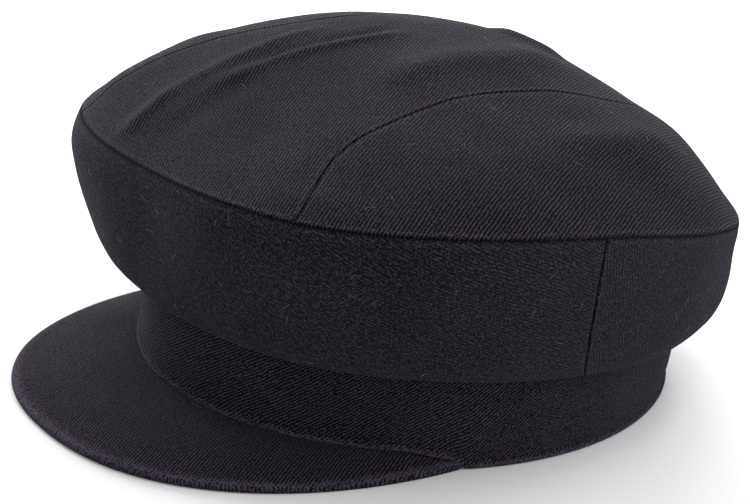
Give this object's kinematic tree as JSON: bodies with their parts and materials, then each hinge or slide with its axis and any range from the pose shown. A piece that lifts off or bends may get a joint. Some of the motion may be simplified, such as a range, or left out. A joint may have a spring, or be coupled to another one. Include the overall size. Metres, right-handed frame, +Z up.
{
  "type": "sailor cap",
  "caption": "Soft sailor cap in dark twill with a seamed crown, a flared wall, an upright headband and a short cloth-covered visor.",
  "frame": {"origin": "middle of the cap's bounding box in plan, on the surface that the headband and visor rest on", "axes": "+X to the wearer's left, -Y towards the visor, +Z up"},
  "size_m": [0.1978, 0.2646, 0.1175],
  "materials": {
    "crown_twill": "matt charcoal cotton twill, slightly faded on the folds",
    "wall_twill": "matt charcoal cotton twill",
    "band_twill": "matt charcoal cotton twill with a stitched hem",
    "visor_twill": "matt charcoal cotton twill over a stiff visor"
  },
  "bodies": {
    "root": {"crown_centre_panel": "crown_twill", "crown_side_panel_left": "crown_twill", "crown_side_panel_right": "crown_twill", "wall_front": "wall_twill", "wall_back": "wall_twill", "headband": "band_twill", "visor": "visor_twill"}
  },
  "joints": []
}
